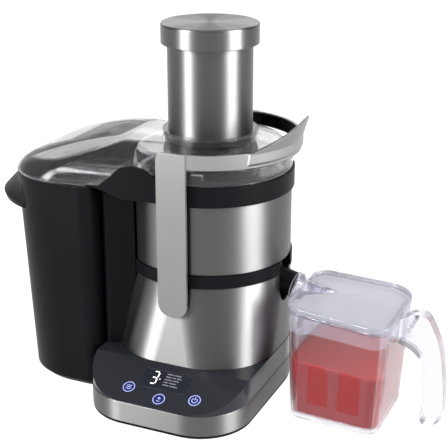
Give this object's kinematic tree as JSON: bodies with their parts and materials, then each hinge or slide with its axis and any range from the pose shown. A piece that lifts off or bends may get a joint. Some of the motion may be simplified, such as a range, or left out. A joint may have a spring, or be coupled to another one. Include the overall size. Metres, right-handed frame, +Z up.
{
  "type": "centrifugal juicer",
  "caption": "Centrifugal juicer with feed chute and pusher, spinning grater basket, lid held by a swinging arm, pulp container, juice nozzle and lidded jug.",
  "frame": {"origin": "on the floor under the rotor axis", "axes": "+X to the juice nozzle and jug, -Y to the control panel at the front, +Z up"},
  "size_m": [0.5253, 0.2592, 0.4],
  "materials": {
    "black_plastic": "fine moulded grain",
    "gloss_black": "polished",
    "brushed_steel": "brushed along the panel",
    "satin_steel": "satin nickel",
    "clear_lid": "clear, polished",
    "clear_jug": "clear, polished",
    "display_glass": "smoked",
    "key_print": "printed touch key",
    "rubber": "matt",
    "circuit_board": "solder resist",
    "motor_iron": "varnished laminations",
    "copper": "enamelled winding",
    "bearing_metal": "sintered",
    "die_cast": "as cast",
    "plated_steel": "zinc plated",
    "carbon": "pressed carbon",
    "white_plastic": "moulded"
  },
  "bodies": {
    "housing": {"bottom_shell": "black_plastic", "rubber_feet": "rubber", "base_trim": "brushed_steel", "control_deck": "gloss_black", "display_window": "display_glass", "speed_key": "key_print", "adjust_key": "key_print", "power_key": "key_print", "touch_board": "circuit_board", "motor_skirt": "brushed_steel", "spout_recess": "black_plastic", "side_column": "black_plastic", "motor_deck": "black_plastic", "cord_inlet": "black_plastic", "pivot_bosses": "white_plastic", "arm_pins": "plated_steel", "safety_switch": "black_plastic", "case_screws": "plated_steel", "power_board": "circuit_board", "lower_bracket": "die_cast", "upper_bracket": "die_cast", "lower_bearing": "bearing_metal", "upper_bearing": "bearing_metal", "motor_pillars": "plated_steel", "motor_mounts": "rubber", "stator_core": "motor_iron", "field_coils": "copper", "brush_holders": "black_plastic", "carbon_brushes": "carbon", "shaft_seal": "rubber", "collector_bowl": "black_plastic", "collector_sleeve": "brushed_steel", "collector_rim": "black_plastic", "juice_spout": "black_plastic"},
    "rotor": {"motor_shaft": "plated_steel", "armature_core": "motor_iron", "armature_winding": "copper", "commutator": "copper", "cooling_fan": "black_plastic", "drive_coupling": "white_plastic", "basket_hub": "black_plastic", "grater_disc": "brushed_steel", "mesh_basket": "brushed_steel", "basket_rim": "white_plastic"},
    "lid": {"lid": "clear_lid", "feed_chute": "clear_lid", "chute_sleeve": "brushed_steel", "lid_gasket": "rubber"},
    "pusher": {"pusher_body": "black_plastic", "pusher_cap": "brushed_steel"},
    "arm": {"locking_arm": "satin_steel", "arm_liner": "black_plastic", "arm_bushes": "white_plastic"},
    "pulp_bin": {"pulp_container": "black_plastic"},
    "jug": {"jug": "clear_jug", "jug_handle": "clear_jug", "handle_rivets": "plated_steel"},
    "jug_cover": {"jug_lid": "clear_jug", "jug_inlet": "clear_jug", "froth_separator": "clear_jug"}
  },
  "joints": [
    {"name": "rotor_spin", "type": "hinge", "parent": "housing", "child": "rotor", "pos_m": [0, 0, 0.1], "axis": [0, 0, 1], "continuous": true},
    {"name": "arm_swing", "type": "hinge", "parent": "housing", "child": "arm", "pos_m": [0, 0, 0.12], "axis": [0, 1, 0], "range_deg": [0, 50]},
    {"name": "lid_lift", "type": "slide", "parent": "housing", "child": "lid", "axis": [0, 0, 1], "range_m": [0, 0.0525]},
    {"name": "pusher_slide", "type": "slide", "parent": "lid", "child": "pusher", "axis": [0, 0, 1], "range_m": [0, 0.185]},
    {"name": "pulp_bin_slide", "type": "slide", "parent": "housing", "child": "pulp_bin", "axis": [-1, 0, 0], "range_m": [0, 0.2]},
    {"name": "jug_slide", "type": "slide", "parent": "housing", "child": "jug", "axis": [1, 0, 0], "range_m": [0, 0.15]},
    {"name": "jug_cover_lift", "type": "slide", "parent": "jug", "child": "jug_cover", "axis": [0.2588, 0, 0.9659], "range_m": [0, 0.08]}
  ],
  "couplings": [
    {"joint": "lid_lift", "follows": "arm_swing", "m_per_rad": 0.06}
  ]
}
